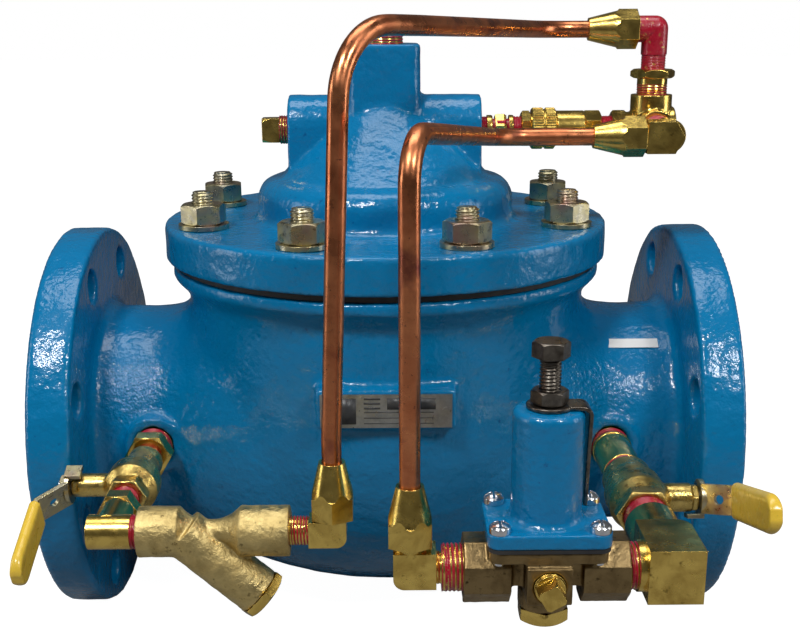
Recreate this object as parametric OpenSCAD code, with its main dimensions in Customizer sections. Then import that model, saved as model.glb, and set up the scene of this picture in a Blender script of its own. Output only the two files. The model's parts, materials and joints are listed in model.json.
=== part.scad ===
// Pilot-operated pressure reducing valve: a flanged globe valve with a diaphragm cover,
// a pilot control valve in front, isolation cocks, a strainer and bent copper control tubes.
// Origin: centre of the inlet flange face. +X runs with the flow, +Z is up, -Y faces the pilot.

/* [Pipe flanges] */
// Distance between the two flange faces
face_to_face = 381; // [376:0.5:386]
// Outside diameter of each pipe flange
flange_od = 228.6; // [224:0.2:234]
// Thickness of each pipe flange
flange_t = 24; // [20:0.5:27]
// Bolt circle diameter of each pipe flange
bolt_circle = 190.5; // [186:0.5:194]
// Diameter of the inlet flange's bolt holes
bolt_hole = 19; // [16:0.5:20]
// Diameter of the outlet flange's bolt holes
outlet_bolt_hole = 19.4; // [16:0.1:20]
// Bore of the inlet and outlet waterways
pipe_bore = 102; // [92:1:104]

/* [Body] */
// Outside radius of the two necks
neck_r = 67; // [65:0.5:70]
// Outside radius of the round bowl under the cover
bowl_r = 115; // [113:0.5:117]
// Outside radius of the belly, about the pipe axis
belly_r = 102.7; // [100:0.5:106]
// Radius of the belly's long curve
belly_arc = 236; // [210:2:260]
// Outside radius of the body's cover flange
deck_r = 125; // [123:0.5:127]
// Height of the body's cover flange face above the pipe axis
deck_z = 98.5; // [98:0.5:99]

/* [Cover] */
// Outside radius of the cover flange
cover_r = 128.6; // [127:0.2:131]
// Height of the top of the cover flange
cover_z = 122.5; // [121:0.5:124]
// Outside radius of the raised round tier
tier_r = 74.5; // [73:0.5:78]
// Half length of the cross boss, end face to centre
cross_half = 55.5; // [53:0.5:58]
// Width of the square top boss
top_boss_w = 41; // [39:0.5:44]
// Height of the square top boss
top_boss_z = 220; // [216:1:224]
// Diameter of the cover studs
stud_d = 12.4; // [11:0.1:12.7]
// Diameter of the circle of cover studs
stud_circle = 218.4; // [216:0.2:220]
// Width across flats of the cover nuts
cover_nut_af = 22; // [20:0.5:24]

/* [Main trim] */
// Diameter of the main stem
stem_d = 18; // [16:0.5:19]
// Bore of the main seat
seat_bore = 94; // [88:1:96]
// Wire diameter of the main spring
spring_wire = 3.5; // [2.5:0.1:4]

/* [Inlet control line] */
// Distance of the inlet control line from the cover axis
inlet_line = 131; // [128:0.5:134]
// Distance of the inlet cock's stem in front of the pipe axis
inlet_cock = 128; // [126:0.5:130]
// Distance of the strainer in front of the pipe axis
strainer_front = 186; // [184:0.5:188]
// Diameter of the strainer's sockets
strainer_d = 24.4; // [23:0.2:26]
// Slope of the strainer's branch below its body
branch_slope = 42; // [38:1:46]
// Droop of the inlet cock's lever below level
inlet_lever_droop = 22; // [0:1:60]

/* [Outlet control line] */
// Distance of the outlet control line from the cover axis
outlet_line = 126.5; // [124:0.5:129]
// Distance of the outlet cock's stem in front of the pipe axis
outlet_cock = 143; // [141:0.5:145]
// Rise of the outlet cock's lever above level
outlet_lever_rise = 17; // [0:1:60]

/* [Pilot valve] */
// Distance of the pilot valve from the cover axis
pilot_x = 70; // [68:0.5:72]
// Distance of the pilot valve in front of the pipe axis
pilot_front = 219.5; // [217:0.5:222]
// Length of the pilot body, socket face to socket face
pilot_len = 73; // [70:0.5:75]
// Width of the pilot bonnet's flange
pilot_flange_w = 54; // [52:0.5:58]
// Depth of the pilot bonnet's flange
pilot_flange_d = 42; // [40:0.5:46]
// Radius of the pilot bonnet's spring chimney
chimney_r = 15.7; // [15:0.1:17]
// Diameter of the adjusting screw
adjuster_d = 9.5; // [8:0.1:10]

/* [Copper tubes] */
// Outside diameter of the copper tubes
tube_od = 9.525; // [9:0.005:9.6]
// Wall thickness of the copper tubes
tube_wall = 0.8; // [0.6:0.1:1.2]

/* [Hidden] */
$fn = 64;
eps = 0.01;
fit = 0.05;

// Heights of the control lines above the pipe axis
inlet_line_z = 4;
outlet_line_z = 1;
side_port_z = 172;
cover_bottom = deck_z + 3;
stem_r = stem_d / 2;
half_face = face_to_face / 2;
neck_end = half_face - flange_t;

// Pipe thread radii, quarter, three-eighths and half inch
npt_quarter = 6.85;
npt_threeeighth = 8.55;
npt_half = 10.65;
passage_r = 4.5;

// Main seat and disc heights
web_bottom = -6;
web_top = 8;
seat_z = 14;
pocket_z = 174;
stem_top = 182;

// Strainer, in its own line
strainer_x0 = -116.3;
strainer_x1 = -45;
branch_x = -96;
branch_len = 47;

// Top right group, on the control tee
tee_x = 153.5;
front_elbow_y = -50;
top_elbow_z = 227;

// Flare nut lengths
nut_hex = 11;
nut_cone = 16.5;
flare_af = 19.05;
flare_r = 7.5;
// How far a male flare reaches into its nut, and where the tube starts
flare_reach = 9.2;
tube_start = 9.5;

// Bottom of the nuts on the two rising tubes
riser1 = [-25, -strainer_front, 11];
riser2 = [10.5, -pilot_front, 12.5];

// Corner points of the two copper tubes
tube1_path = [
    riser1 + [0, 0, tube_start],
    riser1 + [0, 0, 38],
    [-18, -181, 232],
    [14, -141, 231],
    [90, 0, top_elbow_z],
    [tee_x - 11 - nut_hex, 0, top_elbow_z]
];
tube1_bends = [60, 32, 90, 30];
tube2_path = [
    riser2 + [0, 0, tube_start],
    [riser2[0], riser2[1], 191],
    [60, front_elbow_y, side_port_z],
    [tee_x - 14 - nut_hex, front_elbow_y, side_port_z]
];
tube2_bends = [20, 24];

// Everything is drawn about the cover axis, then shifted to the inlet flange face
module centred() translate([half_face, 0, 0]) children();

module rod_x(r, x0, x1) translate([x0, 0, 0]) rotate([0, 90, 0]) cylinder(r = r, h = x1 - x0);

module rod_y(r, y0, y1) translate([0, y1, 0]) rotate([90, 0, 0]) cylinder(r = r, h = y1 - y0);

module rod_z(r, z0, z1) translate([0, 0, z0]) cylinder(r = r, h = z1 - z0);

module cone_z(r0, r1, z0, z1) translate([0, 0, z0]) cylinder(r1 = r0, r2 = r1, h = z1 - z0);

module hex_z(af, z0, z1) translate([0, 0, z0]) cylinder(r = af / sqrt(3), h = z1 - z0, $fn = 6);

// Box from one corner to the opposite one
module block(a, b) translate(a) cube(b - a);

// Hexagon with its corners turned down at the top, and at the bottom too if both
module turned_hex(af, z0, z1, both = false) {
    outer = af / sqrt(3) + 1;
    inner = af * 0.485;
    drop = (outer - inner) * 0.6;
    foot = both ? [[inner, z0], [outer, z0 + drop]] : [[outer, z0]];
    intersection() {
        hex_z(af, z0, z1);
        rotate_extrude() polygon(concat([[0, z0]], foot, [[outer, z1 - drop], [inner, z1], [0, z1]]));
    }
}

// Rod with shallow ring ridges, as a pipe or machine thread looks from outside
module ridged_rod(r, z0, z1, pitch, depth) {
    count = floor((z1 - z0) / pitch);
    step = (z1 - z0) / count;
    teeth = [for (i = [0:count - 1], p = [[r - depth, 0], [r, 0.5]]) [p[0], z0 + (i + p[1]) * step]];
    rotate_extrude() polygon(concat([[0, z0]], teeth, [[r - depth, z1], [0, z1]]));
}

// Frame of a control line: local Z runs forward from the pipe axis, local Y is up
module inlet_frame() translate([-inlet_line, 0, inlet_line_z]) rotate([90, 0, 0]) children();

module outlet_frame() translate([outlet_line, 0, outlet_line_z]) rotate([90, 0, 0]) children();

module strainer_frame() translate([0, -strainer_front, inlet_line_z]) children();

module pilot_frame() translate([pilot_x, -pilot_front, outlet_line_z]) children();

module tee_frame() translate([tee_x, 0, side_port_z]) children();

// Frame of a cock's handle: local Z runs out along its stem, local X along its lever
module inlet_handle_frame()
    translate([-inlet_line, -inlet_cock, inlet_line_z])
        rotate([0, -90, 0]) rotate([0, 0, -90 - inlet_lever_droop]) children();

module outlet_handle_frame()
    translate([outlet_line, -outlet_cock, outlet_line_z])
        rotate([0, 90, 0]) rotate([0, 0, -90 - outlet_lever_rise]) children();

// Puts children on each of the count places of a circle that straddles the centre line
module round_pattern(circle, count)
    for (i = [0:count - 1]) rotate([0, 0, (i + 0.5) * 360 / count]) translate([circle / 2, 0, 0]) children();

// ---------- Bent tubes ----------

function unit(v) = v / norm(v);

// Distance that the bend at corner i takes from the straight runs beside it
function setback(path, bends, i) =
    bends[i - 1] * tan(acos(unit(path[i] - path[i - 1]) * unit(path[i + 1] - path[i])) / 2);

// Stations [point, direction] along the bend at corner i
function bend_stations(path, bends, i, steps) =
    let (
        u = unit(path[i] - path[i - 1]),
        v = unit(path[i + 1] - path[i]),
        turn = acos(u * v),
        centre = path[i] + unit(v - u) * bends[i - 1] / cos(turn / 2),
        a = unit(path[i] - u * setback(path, bends, i) - centre)
    )
    [
        for (k = [0:steps])
            let (t = turn * k / steps)
            [centre + bends[i - 1] * (a * cos(t) + u * sin(t)), u * cos(t) - a * sin(t)]
    ];

function tube_stations(path, bends, steps) = concat(
    [[path[0], unit(path[1] - path[0])]],
    [for (i = [1:len(path) - 2], s = bend_stations(path, bends, i, steps)) s],
    [[path[len(path) - 1], unit(path[len(path) - 1] - path[len(path) - 2])]]
);

// Ring of points about a station, turned by a fixed side direction
function station_ring(s, r, sides) =
    let (n = unit(cross(s[1], [1, -1, 0.2])), m = cross(n, s[1]))
    [for (k = [0:sides - 1]) s[0] + r * (n * cos(360 * k / sides) + m * sin(360 * k / sides))];

// Hollow tube swept along a path of straight runs and round bends
module bent_tube(path, bends, od, wall) {
    sides = 16;
    stations = tube_stations(path, bends, 8);
    count = len(stations);
    inner = count * sides;
    points = concat(
        [for (s = stations, q = station_ring(s, od / 2, sides)) q],
        [for (s = stations, q = station_ring(s, od / 2 - wall, sides)) q]
    );
    skins = [
        for (i = [0:count - 2], k = [0:sides - 1])
            let (a = i * sides + k, b = i * sides + (k + 1) % sides)
            each [[a, b, b + sides, a + sides], [inner + a, inner + a + sides, inner + b + sides, inner + b]]
    ];
    ends = [
        for (k = [0:sides - 1], i = [0, count - 1])
            let (a = i * sides + k, b = i * sides + (k + 1) % sides)
            i == 0 ? [a, inner + a, inner + b, b] : [a, b, inner + b, inner + a]
    ];
    polyhedron(points, concat(skins, ends));
}

// ---------- Coil springs ----------

function coil_point(coil_r, wire_r, z0, rise, turns, t, a) =
    let (turn = 360 * turns * t, reach = coil_r + wire_r * cos(a))
    [reach * cos(turn), reach * sin(turn), z0 + wire_r + (rise - 2 * wire_r) * t + wire_r * sin(a)];

module coil_spring(coil_r, wire_r, z0, rise, turns) {
    sides = 8;
    steps = turns * 16;
    points = [
        for (i = [0:steps], k = [0:sides - 1])
            coil_point(coil_r, wire_r, z0, rise, turns, i / steps, 360 * k / sides)
    ];
    skin = [
        for (i = [0:steps - 1], k = [0:sides - 1])
            let (a = i * sides + k, b = i * sides + (k + 1) % sides) [a, a + sides, b + sides, b]
    ];
    first = [for (k = [0:sides - 1]) k];
    last = [for (k = [sides - 1:-1:0]) steps * sides + k];
    polyhedron(points, concat(skin, [first, last]));
}

// ---------- Main valve body ----------

// Half outline of the necks and flanges, about the pipe axis, for one end
module end_profile() {
    flange_r = flange_od / 2;
    edge = 2.5;
    root = 6;
    difference() {
        union() {
            square([neck_r, half_face]);
            translate([0, neck_end]) square([flange_r - edge, flange_t]);
            translate([0, neck_end + edge]) square([flange_r, flange_t - 2 * edge]);
            for (y = [neck_end + edge, half_face - edge])
                translate([flange_r - edge, y]) circle(r = edge);
            translate([neck_r - eps, neck_end - root]) square([root, root + eps]);
        }
        translate([neck_r + root, neck_end - root]) circle(r = root);
    }
}

// Half outline of the belly about the pipe axis, shrunk by the given wall
module belly_profile(wall, half_len) intersection() {
    translate([belly_r - belly_arc, 0]) circle(r = belly_arc - wall, $fn = 128);
    translate([0, -half_len]) square([belly_r, 2 * half_len]);
}

// Points of the bowl's outline from its rim down to its lowest point
bowl_knee = 20;
bowl_depth = 118;
bowl_outline = [
    for (a = [0:7.5:90]) [bowl_r * cos(a), bowl_knee - bowl_depth * sin(a)]
];

module body_casting() {
    for (side = [0, 180]) rotate([0, 0, side]) rotate([0, 90, 0]) rotate_extrude() end_profile();
    intersection() {
        rotate([0, 90, 0]) rotate_extrude() belly_profile(0, 124);
        rod_z(belly_arc, -belly_r - 1, deck_z - 5);
    }
    rotate_extrude() polygon(concat([[0, deck_z - 10], [bowl_r, deck_z - 10]], bowl_outline));
    rotate_extrude() deck_profile();
    translate([-inlet_line, 0, inlet_line_z]) rod_y(17, -72, -30);
    translate([outlet_line, 0, outlet_line_z]) rod_y(17, -68, -30);
    block([-36.5, -119.5, 29], [36.5, -90, 52]);
}

// Body's cover flange with a rounded rim and a sloping underside
module deck_profile() {
    edge = 2;
    translate([0, deck_z - 8]) square([deck_r - edge, 8]);
    translate([0, deck_z - 8 + edge]) square([deck_r, 8 - 2 * edge]);
    for (y = [deck_z - 8 + edge, deck_z - edge]) translate([deck_r - edge, y]) circle(r = edge);
    polygon([[0, deck_z - 18], [bowl_r, deck_z - 18], [deck_r - edge, deck_z - 8], [0, deck_z - 8]]);
}

module lower_chamber() difference() {
    intersection() {
        rotate([0, 90, 0]) rotate_extrude() belly_profile(11, 92);
        rod_z(88, -belly_r, web_bottom);
    }
    rod_x(pipe_bore / 2 + 8, 63, 130);
}

module upper_chamber() difference() {
    rod_z(92, web_top, deck_z + 1);
    rod_x(pipe_bore / 2 + 8, -130, -63);
}

module valve_body() centred() color("#0a78b4") difference() {
    body_casting();
    lower_chamber();
    upper_chamber();
    rod_x(pipe_bore / 2, -half_face - 1, -71);
    rod_x(pipe_bore / 2, 71, half_face + 1);
    rod_z(55 + fit, web_bottom - 1, web_top + 1);
    translate([0, 0, deck_z - 14]) round_pattern(stud_circle, 8) rod_z(stud_d / 2 + fit, 0, 15);
    for (hole = [[-half_face - 1, bolt_hole], [neck_end - 1, outlet_bolt_hole]])
        translate([hole[0], 0, 0]) rotate([0, 90, 0]) round_pattern(bolt_circle, 8)
            rod_z(hole[1] / 2, 0, flange_t + 2);
    translate([-inlet_line, 0, inlet_line_z]) {
        rod_y(npt_half + fit, -80, -58);
        rod_y(passage_r, -60, -40);
    }
    translate([outlet_line, 0, outlet_line_z]) {
        rod_y(npt_half + fit, -80, -56);
        rod_y(passage_r, -58, -40);
    }
    for (x = [-31, 31]) translate([x, 0, 40.5]) rod_y(1.25, -121, -112);
}

module seat_ring() centred() color("#b98b3e") difference() {
    union() {
        rod_z(55, web_bottom, web_top);
        rod_z(60, web_top, seat_z - 2);
        rod_z(seat_bore / 2 + 4, seat_z - 2, seat_z);
    }
    rod_z(seat_bore / 2, web_bottom - 1, seat_z + 1);
}

// ---------- Cover ----------

module cover_outline() {
    edge = 3;
    foot = 5;
    shoulder = 12;
    translate([0, cover_bottom]) square([cover_r, cover_z - edge - cover_bottom]);
    translate([0, cover_z - edge]) square([cover_r - edge, edge]);
    translate([cover_r - edge, cover_z - edge]) circle(r = edge);
    difference() {
        translate([0, cover_z - eps]) square([tier_r + foot, foot]);
        translate([tier_r + foot, cover_z + foot]) circle(r = foot + 0.1);
    }
    translate([0, cover_z]) square([tier_r, 146 - shoulder - cover_z]);
    translate([0, 146 - shoulder]) square([tier_r - shoulder, shoulder]);
    translate([tier_r - shoulder, 146 - shoulder]) circle(r = shoulder);
    polygon([[0, 140], [tier_r - shoulder, 145], [20, 187], [0, 187]]);
}

// Bar of the cross boss: round on top, flat sided below
module cross_boss() {
    side = 18;
    translate([0, 0, 174]) rod_x(side, -cross_half, cross_half);
    block([-cross_half, -side, 142], [cross_half, side, 174]);
}

// Square post with rounded corners
module top_boss() {
    w = top_boss_w / 2;
    round = 7;
    translate([0, 0, 160]) linear_extrude(top_boss_z - 160) {
        square([2 * w, 2 * (w - round)], center = true);
        square([2 * (w - round), 2 * w], center = true);
        for (x = [-1, 1], y = [-1, 1]) translate([x * (w - round), y * (w - round)]) circle(r = round);
    }
}

module valve_cover() centred() color("#0a78b4") difference() {
    union() {
        rotate_extrude() cover_outline();
        cross_boss();
        top_boss();
    }
    rod_z(92, cover_bottom - 1, 112);
    rod_z(65, 111, 133);
    cone_z(65, 20, 133 - eps, pocket_z);
    rod_z(14, pocket_z - 1, 198);
    rod_z(stem_r + 1.5, 190, 209);
    rod_z(npt_half + fit, 208, top_boss_z + 1);
    translate([0, 0, side_port_z]) {
        rod_x(8 + fit, -cross_half - 1, -cross_half + 12);
        rod_x(npt_quarter + fit, cross_half - 12, cross_half + 1);
        rod_x(3, -cross_half, -15);
        rod_x(3, 15, cross_half);
    }
    round_pattern(stud_circle, 8) rod_z(stud_d / 2 + 0.5, cover_bottom - 1, cover_z + 1);
}

module cover_studs() centred() color("#c8ab62") round_pattern(stud_circle, 8) {
    r = stud_d / 2;
    rod_z(r, deck_z - 13, 141);
    cone_z(r, r - 2, 141, 142.7);
}

module cover_washers() centred() color("#b3a884") round_pattern(stud_circle, 8) difference() {
    rod_z(14, cover_z, cover_z + 2.5);
    rod_z(stud_d / 2 + 0.5, cover_z - 1, cover_z + 4);
}

module cover_nuts() centred() color("#b3a884") round_pattern(stud_circle, 8) difference() {
    turned_hex(cover_nut_af, cover_z + 2.5, cover_z + 13.5, true);
    rod_z(stud_d / 2 + fit, cover_z, cover_z + 15);
}

// ---------- Main trim ----------

module main_diaphragm() centred() color("#26282b") difference() {
    rotate_extrude() {
        translate([stem_r + 0.4, deck_z]) square([123.5 - stem_r - 0.4, 3]);
        translate([76, deck_z + 1.5]) circle(r = 5);
    }
    round_pattern(stud_circle, 8) rod_z(stud_d / 2 + 0.4, deck_z - 1, deck_z + 4);
}

module diaphragm_washers() centred() color("#8f9498") difference() {
    union() {
        cone_z(54, 60, deck_z - 7, deck_z - 3);
        rod_z(60, deck_z - 3, deck_z - fit);
        rod_z(60, cover_bottom + fit, cover_bottom + 4);
        cone_z(60, 54, cover_bottom + 4, cover_bottom + 7);
    }
    rod_z(stem_r + fit, deck_z - 10, cover_bottom + 10);
}

module main_stem() centred() color("#a9acb0") {
    rod_z(15, -24, -16);
    rod_z(stem_r, -16, stem_top - 2);
    cone_z(stem_r, stem_r - 2, stem_top - 2, stem_top);
    rod_z(12, 31, deck_z - 7);
}

module disc_guide() centred() color("#b98b3e") difference() {
    union() {
        rod_z(35, 10, 21.9);
        rod_z(14, -16, 10);
        for (a = [0:45:135]) rotate([0, 0, a])
            intersection() {
                block([-50, -2.5, -15], [50, 2.5, 12]);
                rod_z(seat_bore / 2 - 0.5, -16, 12);
            }
    }
    rod_z(stem_r + fit, -17, 23);
}

module seat_disc() centred() color("#1d1e20") difference() {
    rod_z(56, seat_z + 0.3, 21.9);
    rod_z(35 + fit, seat_z, 23);
}

module disc_retainer() centred() color("#8f9498") difference() {
    union() {
        rod_z(59, 16, 27);
        cone_z(59, 40, 27, 31);
    }
    rod_z(56 + fit, 15, 22);
    rod_z(stem_r + fit, 15, 32);
}

module main_stem_nut() centred() color("#8f9498") difference() {
    turned_hex(24, cover_bottom + 7, cover_bottom + 16);
    rod_z(stem_r + fit, cover_bottom, cover_bottom + 20);
}

module stem_bushing() centred() color("#b98b3e") difference() {
    rod_z(14 - fit, pocket_z + 1, 198);
    rod_z(stem_r + fit, pocket_z, 199);
}

module main_spring() centred() color("#77797c")
    coil_spring(16.6, spring_wire / 2, cover_bottom + 7.2, pocket_z - cover_bottom - 7.4, 6);

// ---------- Plugs, nipples and other pipe fittings ----------

// Pipe plug with a square head: thread from z = -depth up to z = shank, then the head
module pipe_plug(r, depth, shank, head_w, head_h) {
    rod_z(r, -depth, 0);
    ridged_rod(r, 0, shank, 1.4, 0.35);
    intersection() {
        block([-head_w / 2, -head_w / 2, shank], [head_w / 2, head_w / 2, shank + head_h]);
        cone_z(head_w * 0.80, head_w * 0.62, shank, shank + head_h);
    }
}

module pipe_plugs() centred() color("#b98b3e") {
    translate([0, 0, top_boss_z]) pipe_plug(npt_half, 9, 6, 14, 8);
    translate([-cross_half, 0, side_port_z]) rotate([0, -90, 0]) pipe_plug(8, 10, 5, 13.5, 10);
    pilot_frame() translate([0, -21.5, 0]) rotate([90, 0, 0]) rotate([0, 0, 30])
        pipe_plug(npt_quarter, 10, 2, 9.5, 8);
}

module close_nipples() centred() color("#b01634") {
    inlet_frame() difference() {
        ridged_rod(npt_quarter, 139.5, 163, 1.41, 0.35);
        rod_z(passage_r, 139, 164);
    }
    outlet_frame() difference() {
        ridged_rod(npt_half, 156.5, 190, 1.81, 0.45);
        rod_z(6.5, 156, 191);
    }
    tee_frame() rotate([0, -90, 0]) difference() {
        ridged_rod(npt_quarter, 14, 37.6, 1.41, 0.35);
        rod_z(passage_r, 13, 39);
    }
    translate([cross_half, 0, side_port_z]) rotate([0, 90, 0]) difference() {
        union() {
            ridged_rod(npt_quarter, -10, 3.5, 1.41, 0.35);
            rod_z(7.4, 3.5, 6.5);
            rod_z(5.6, 6.5, 16.5);
            turned_hex(14.3, 8.5, 14.5, true);
            rod_z(7.4, 16.5, 18.8);
            ridged_rod(npt_quarter, 18.8, 31, 1.41, 0.35);
        }
        rod_z(3, -11, 32);
    }
}

module inlet_port_bushing() centred() color("#b98b3e") inlet_frame() difference() {
    union() {
        rod_z(npt_half, 60, 72);
        ridged_rod(npt_half, 72, 79, 1.81, 0.45);
        turned_hex(22.2, 79, 89);
    }
    rod_z(npt_quarter + fit, 78, 90);
    rod_z(passage_r, 59, 80);
}

// Cock body about its line: rear end, swelling middle, ring, front hexagon and stem collar
module cock_shell(rear, mid, front, rear_r, ring_r, hex_af) {
    ring = (front - mid) * 0.32;
    rod_z(rear_r, rear, rear + 9);
    cone_z(rear_r, ring_r - 1.6, rear + 9, mid - ring);
    rod_z(ring_r, mid - ring, mid + ring);
    cone_z(ring_r, hex_af / 2, mid + ring, front - 8);
    turned_hex(hex_af, front - 8, front);
}

module inlet_cock_body() centred() color("#a8873f") {
    difference() {
        union() {
            inlet_frame() {
                ridged_rod(npt_quarter, 80, 95, 1.41, 0.35);
                cock_shell(95, inlet_cock, 147, 9.5, 13.75, 19);
            }
            inlet_handle_frame() rod_z(6.2, 5, 27);
        }
        inlet_frame() {
            rod_z(passage_r, 79, 148);
            rod_z(npt_quarter + fit, 139, 148);
            translate([0, 0, inlet_cock]) sphere(r = 9.3);
        }
        inlet_handle_frame() rod_z(3.3, 0, 28);
    }
    inlet_handle_frame() difference() {
        turned_hex(11, 27, 30.5);
        rod_z(3.3, 26, 32);
    }
}

module outlet_cock_body() centred() color("#a8873f") {
    difference() {
        union() {
            outlet_frame() cock_shell(117, outlet_cock, 167, 13, 15.2, 25.4);
            outlet_handle_frame() rod_z(7.4, 5, 27);
        }
        outlet_frame() {
            rod_z(6.5, 120, 168);
            for (z = [116, 156]) rod_z(npt_half + fit, z, z + 12);
            translate([0, 0, outlet_cock]) sphere(r = 11.3);
        }
        outlet_handle_frame() rod_z(3.9, 0, 28);
    }
    outlet_handle_frame() difference() {
        turned_hex(12.7, 27, 30.5);
        rod_z(3.9, 26, 32);
    }
}

module cock_ball_seats() centred() color("#e9e6dc") {
    inlet_frame() translate([0, 0, inlet_cock]) seat_pair(9.25, 8.85, passage_r);
    outlet_frame() translate([0, 0, outlet_cock]) seat_pair(11.25, 10.75, 6.5);
}

// Shell between the cavity and the ball, kept only near the two ends of the bore
module seat_pair(outer_r, inner_r, bore_r) for (side = [0, 180]) rotate([side, 0, 0]) difference() {
    intersection() {
        sphere(r = outer_r);
        rod_z(outer_r, outer_r * 0.62, outer_r);
    }
    sphere(r = inner_r);
    rod_z(bore_r, 0, outer_r + 1);
}

module inlet_elbow() centred() color("#c79a35") inlet_frame() difference() {
    union() {
        turned_hex(17.5, 156, 165);
        rod_z(8.6, 165, strainer_front);
        translate([0, 0, strainer_front]) {
            rod_x(8.2, -8.7, 11.5);
            rod_x(npt_quarter, 11.5, 27);
        }
    }
    rod_z(npt_quarter + fit, 155, 166);
    rod_z(passage_r, 160, strainer_front);
    translate([0, 0, strainer_front]) rod_x(passage_r, 0, 28);
}

// ---------- Strainer ----------

// Half outline of the run: two sockets joined by a narrow waist
module strainer_run_outline() {
    r = strainer_d / 2;
    mid = (strainer_x0 + strainer_x1) / 2 - 2;
    difference() {
        translate([0, strainer_x0]) square([r, strainer_x1 - strainer_x0]);
        translate([r + 12.5, mid]) circle(r = 19);
    }
}

module branch_frame() translate([branch_x, 0, 0]) rotate([0, 90 + branch_slope, 0]) children();

module strainer_body() centred() color("#a98a4a") strainer_frame() difference() {
    union() {
        rotate([0, 90, 0]) rotate_extrude() strainer_run_outline();
        branch_frame() rod_z(strainer_d / 2 - 0.3, 0, branch_len);
    }
    rod_x(npt_quarter + fit, strainer_x0 - 1, strainer_x0 + 15);
    rod_x(npt_quarter + fit, strainer_x1 - 12, strainer_x1 + 1);
    rod_x(passage_r, strainer_x0, branch_x + 3);
    rod_x(passage_r, branch_x + 13, strainer_x1);
    branch_frame() rod_z(passage_r - 0.5, -1, 20);
    branch_frame() rod_z(9.5, 14, branch_len + 1);
}

module strainer_screen() centred() color("#9fa3a6") strainer_frame() branch_frame() difference() {
    rod_z(8.2, 15, branch_len - 8);
    rod_z(7.4, 14, branch_len);
    for (a = [0:30:150]) rotate([0, 0, a]) block([-9, -0.8, 19], [9, 0.8, branch_len - 12]);
}

module strainer_cap() centred() color("#c79a35") strainer_frame() branch_frame() {
    rod_z(9.5 - fit, branch_len - 7.5, branch_len);
    turned_hex(23, branch_len, branch_len + 4.5);
}

// Elbow block of the given top: one leg along -X to a male thread, one leg up to a male flare
module flare_elbow(half, top, rise, thread_r, shank, reach, collar) {
    round = 5;
    difference() {
        union() {
            translate([0, half, 0]) rotate([90, 0, 0]) linear_extrude(2 * half) difference() {
                translate([-half - collar, -half]) square([2 * half + collar, half + top]);
                translate([half - round, -half]) difference() {
                    square(round);
                    translate([0, round]) circle(r = round);
                }
            }
            rod_z(flare_r, half, rise);
            translate([-half - collar, 0, 0]) rotate([0, -90, 0]) {
                ridged_rod(thread_r, 0, shank, 1.41, 0.35);
                rod_z(thread_r, shank, reach);
            }
        }
        rod_z(3.6, 0, rise + 1);
        rod_x(3.6, -half - collar - reach - 1, 0);
    }
}

module strainer_outlet_elbow() centred() color("#c79a35")
    translate([riser1[0], riser1[1], inlet_line_z])
        flare_elbow(6.4, 6.4, riser1[2] - inlet_line_z + flare_reach, npt_quarter, 7, 18, 5);

module pilot_inlet_elbow() centred() color("#c79a35")
    translate([riser2[0], riser2[1], outlet_line_z]) difference() {
        union() {
            rotate([0, 0, 180])
                flare_elbow(7.5, 9.5, riser2[2] - outlet_line_z + flare_reach, 7.5, 3, 3, 4);
            translate([14, 0, 0]) rotate([0, 90, 0]) {
                ridged_rod(npt_half, 0, 9, 1.81, 0.45);
                rod_z(npt_half, 9, 19);
            }
        }
        rod_x(3.6, 0, 34);
    }

// Long flare nut: a hexagon from z = 0, turned to a long cone down to the tube
module flare_nut() difference() {
    corner = flare_af / sqrt(3) + 1;
    intersection() {
        hex_z(flare_af, 0, nut_hex + nut_cone);
        rotate_extrude() polygon([
            [0, 0], [corner, 0], [corner, nut_hex - 0.8], [flare_af / 2 + 0.6, nut_hex],
            [tube_od / 2 + 1.4, nut_hex + nut_cone], [0, nut_hex + nut_cone]
        ]);
    }
    rod_z(flare_r + fit, -1, nut_hex - 1);
    rod_z(tube_od / 2 + fit, 0, nut_hex + nut_cone + 1);
}

module flare_nuts() centred() color("#c79a35") {
    translate(riser1) rotate([0, 0, 30]) flare_nut();
    translate(riser2) rotate([0, 0, 30]) flare_nut();
    translate([tee_x - 13.5, front_elbow_y, side_port_z]) rotate([0, -90, 0]) flare_nut();
    translate([tee_x - 10.5, 0, top_elbow_z]) rotate([0, -90, 0]) flare_nut();
}

module cover_control_tube() centred() color("#b5623a")
    bent_tube(tube1_path, tube1_bends, tube_od, tube_wall);

module pilot_supply_tube() centred() color("#b5623a")
    bent_tube(tube2_path, tube2_bends, tube_od, tube_wall);

// ---------- Flow control and the top right group ----------

module flow_control_body() centred() color("#c79a35")
    translate([cross_half, 0, side_port_z]) rotate([0, 90, 0]) difference() {
        union() {
            turned_hex(17.5, 23, 28.5, true);
            rod_z(8, 28.5, 59);
            rod_z(10, 43.5, 59);
            turned_hex(17.5, 59, 69, true);
        }
        rod_z(npt_quarter + fit, 22, 33);
        rod_z(3, 30, 60);
        rod_z(npt_quarter + fit, 60, 70);
    }

module flow_control_sleeve() centred() color("#c79a35")
    translate([cross_half, 0, side_port_z]) rotate([0, 90, 0]) difference() {
        union() {
            rod_z(11.8, 29, 41);
            cone_z(11.8, 10.6, 41, 43);
        }
        rod_z(8 + fit, 28, 44);
    }

// Cross-shaped tee: run along X, socket up, socket to the front
module control_tee() centred() color("#c79a35") tee_frame() difference() {
    union() {
        rotate([0, -90, 0]) rod_z(9.2, 0, 15);
        rotate([0, -90, 0]) turned_hex(18, 15, 23);
        sphere(r = 13);
        rod_z(11.8, 0, 12);
        rod_z(11.8, 12, 19);
        rod_x(12, 0, 13);
        rod_y(11.2, -20, 0);
    }
    rod_x(npt_quarter + fit, -24, -13);
    rod_x(passage_r, -15, 0);
    rod_z(passage_r, 0, 12);
    rod_z(npt_threeeighth + fit, 10, 20);
    rod_y(npt_threeeighth + fit, -21, -10);
    rod_y(passage_r, -12, 0);
}

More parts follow.
